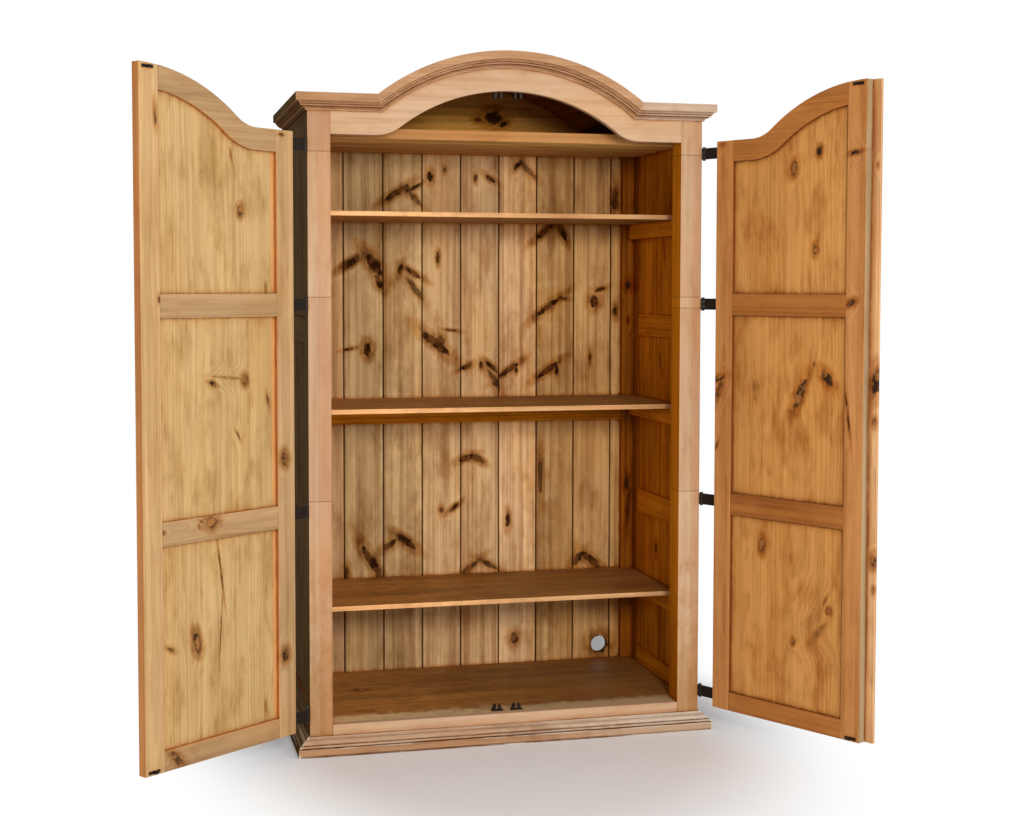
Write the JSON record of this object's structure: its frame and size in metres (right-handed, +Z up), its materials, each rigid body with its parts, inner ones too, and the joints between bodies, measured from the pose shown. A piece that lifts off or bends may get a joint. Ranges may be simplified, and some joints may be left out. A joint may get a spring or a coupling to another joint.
{
  "type": "cabinet",
  "caption": "Tall free-standing pine cabinet with an arched bonnet top, shelves inside, a planked back and two framed doors on iron strap hinges.",
  "frame": {"origin": "middle of the case footprint, on the floor (underside of the floor bearer)", "axes": "+X to the right of someone facing the doors, -Y towards that person, +Z up"},
  "size_m": [2.0065, 1.1889, 2.053],
  "materials": {
    "case_pine": "waxed, worn",
    "moulding_pine": "waxed, dark in the grooves",
    "door_pine": "waxed",
    "panel_pine": "waxed",
    "plank_pine": "waxed, dark at the joints",
    "inside_pine": "waxed",
    "iron": "black, slightly rough"
  },
  "bodies": {
    "case": {"arched_back_board": "inside_pine", "arched_front_rail": "case_pine", "back_middle_rail": "inside_pine", "back_planks": "plank_pine", "base_front_moulding": "moulding_pine", "base_left_moulding": "moulding_pine", "base_right_moulding": "moulding_pine", "bonnet_roof": "inside_pine", "bottom_front_rail": "case_pine", "case_hinge_leaves": "iron", "case_hinge_screws": "iron", "ceiling_board": "inside_pine", "cornice_arch": "moulding_pine", "cornice_left": "moulding_pine", "cornice_left_return": "moulding_pine", "cornice_right": "moulding_pine", "cornice_right_return": "moulding_pine", "floor_bearer": "inside_pine", "floor_board": "inside_pine", "hinge_pins": "iron", "left_back_post": "inside_pine", "left_front_post": "case_pine", "lower_catch_clips": "iron", "lower_shelf": "inside_pine", "middle_shelf": "inside_pine", "right_back_post": "inside_pine", "right_front_post": "case_pine", "shelf_cleats": "inside_pine", "side_panels": "inside_pine", "side_rails": "inside_pine", "upper_catch_clips": "iron", "upper_shelf": "inside_pine"},
    "left_door": {"left_door_bottom_rail": "door_pine", "left_door_catch_spears": "iron", "left_door_hinge_screws": "iron", "left_door_hinge_stile": "door_pine", "left_door_hinge_straps": "iron", "left_door_lower_panel": "panel_pine", "left_door_lower_rail": "door_pine", "left_door_meeting_stile": "door_pine", "left_door_middle_panel": "panel_pine", "left_door_pull": "iron", "left_door_top_rail": "door_pine", "left_door_upper_panel": "panel_pine", "left_door_upper_rail": "door_pine"},
    "right_door": {"right_door_astragal": "door_pine", "right_door_bottom_rail": "door_pine", "right_door_catch_spears": "iron", "right_door_hinge_screws": "iron", "right_door_hinge_stile": "door_pine", "right_door_hinge_straps": "iron", "right_door_lower_panel": "panel_pine", "right_door_lower_rail": "door_pine", "right_door_meeting_stile": "door_pine", "right_door_middle_panel": "panel_pine", "right_door_pull": "iron", "right_door_top_rail": "door_pine", "right_door_upper_panel": "panel_pine", "right_door_upper_rail": "door_pine"}
  },
  "joints": [
    {"name": "left_door_hinge", "type": "hinge", "parent": "case", "child": "left_door", "pos_m": [-0.606, -0.319, 0.943], "axis": [0, 0, -1], "range_deg": [-143.3, 31.7]},
    {"name": "right_door_hinge", "type": "hinge", "parent": "case", "child": "right_door", "pos_m": [0.606, -0.319, 0.943], "axis": [0, 0, 1], "range_deg": [-118.9, 56.1]}
  ]
}
